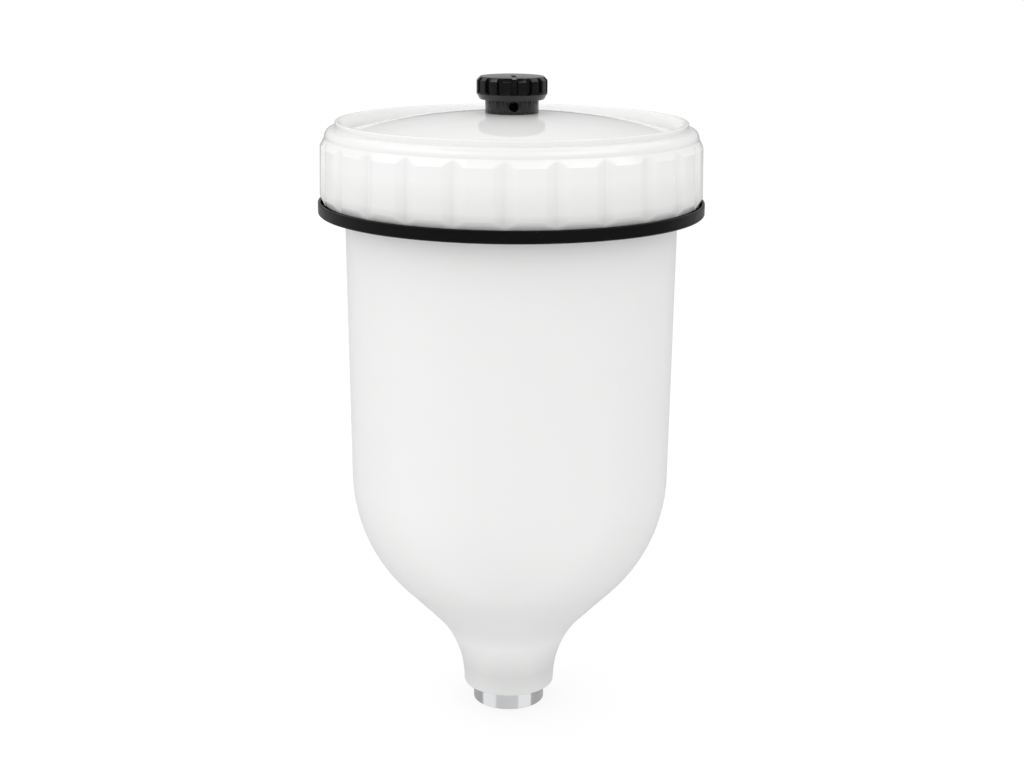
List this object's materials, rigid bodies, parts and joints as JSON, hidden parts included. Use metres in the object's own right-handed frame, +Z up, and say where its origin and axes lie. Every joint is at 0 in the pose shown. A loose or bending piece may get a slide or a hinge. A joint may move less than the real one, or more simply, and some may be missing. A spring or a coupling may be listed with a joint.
{
  "type": "gravity paint cup with screw lid",
  "caption": "Translucent gravity cup for paint with a funnel neck, a threaded metal outlet, a grooved screw lid, a drip ring and a turning vent knob.",
  "frame": {"origin": "centre of the outlet's flat bottom face", "axes": "+Z up along the cup's axis, +X to the right, the vent hole in the lid's knob faces about -Y"},
  "size_m": [0.1028, 0.1028, 0.1767],
  "materials": {
    "cup_plastic": "translucent natural white, satin",
    "lid_plastic": "translucent natural white, glossy",
    "outlet_metal": "turned, bright",
    "strainer_plastic": "natural, satin",
    "strainer_gauze": "fine woven gauze",
    "ring_rubber": "black, satin",
    "gasket_rubber": "soft white seal",
    "seal_rubber": "black",
    "vent_plastic": "black, satin",
    "knob_plastic": "black, slightly glossy moulding"
  },
  "bodies": {
    "cup": {"cup_body": "cup_plastic", "outlet_fitting": "outlet_metal", "strainer_frame": "strainer_plastic", "strainer_mesh": "strainer_gauze", "drip_ring": "ring_rubber"},
    "lid_seal": {"lid_gasket": "gasket_rubber"},
    "lid": {"lid": "lid_plastic", "vent_washer": "seal_rubber", "vent_stem": "vent_plastic", "vent_nut": "vent_plastic", "splash_cap": "strainer_plastic", "vent_o_ring": "seal_rubber"},
    "vent_knob": {"vent_knob": "knob_plastic"}
  },
  "joints": [
    {"name": "lid_lift", "type": "slide", "parent": "cup", "child": "lid_seal", "axis": [0, 0, 1], "range_m": [0, 0.0201]},
    {"name": "lid_turn", "type": "hinge", "parent": "lid_seal", "child": "lid", "pos_m": [0, 0, 0.151], "axis": [0, 0, 1], "range_deg": [0, 1440]},
    {"name": "vent_turn", "type": "hinge", "parent": "lid", "child": "vent_knob", "pos_m": [0, 0, 0.17], "axis": [0, 0, -1], "range_deg": [0, 90]}
  ],
  "couplings": [
    {"joint": "lid_lift", "follows": "lid_turn", "m_per_rad": 0.00079577}
  ]
}
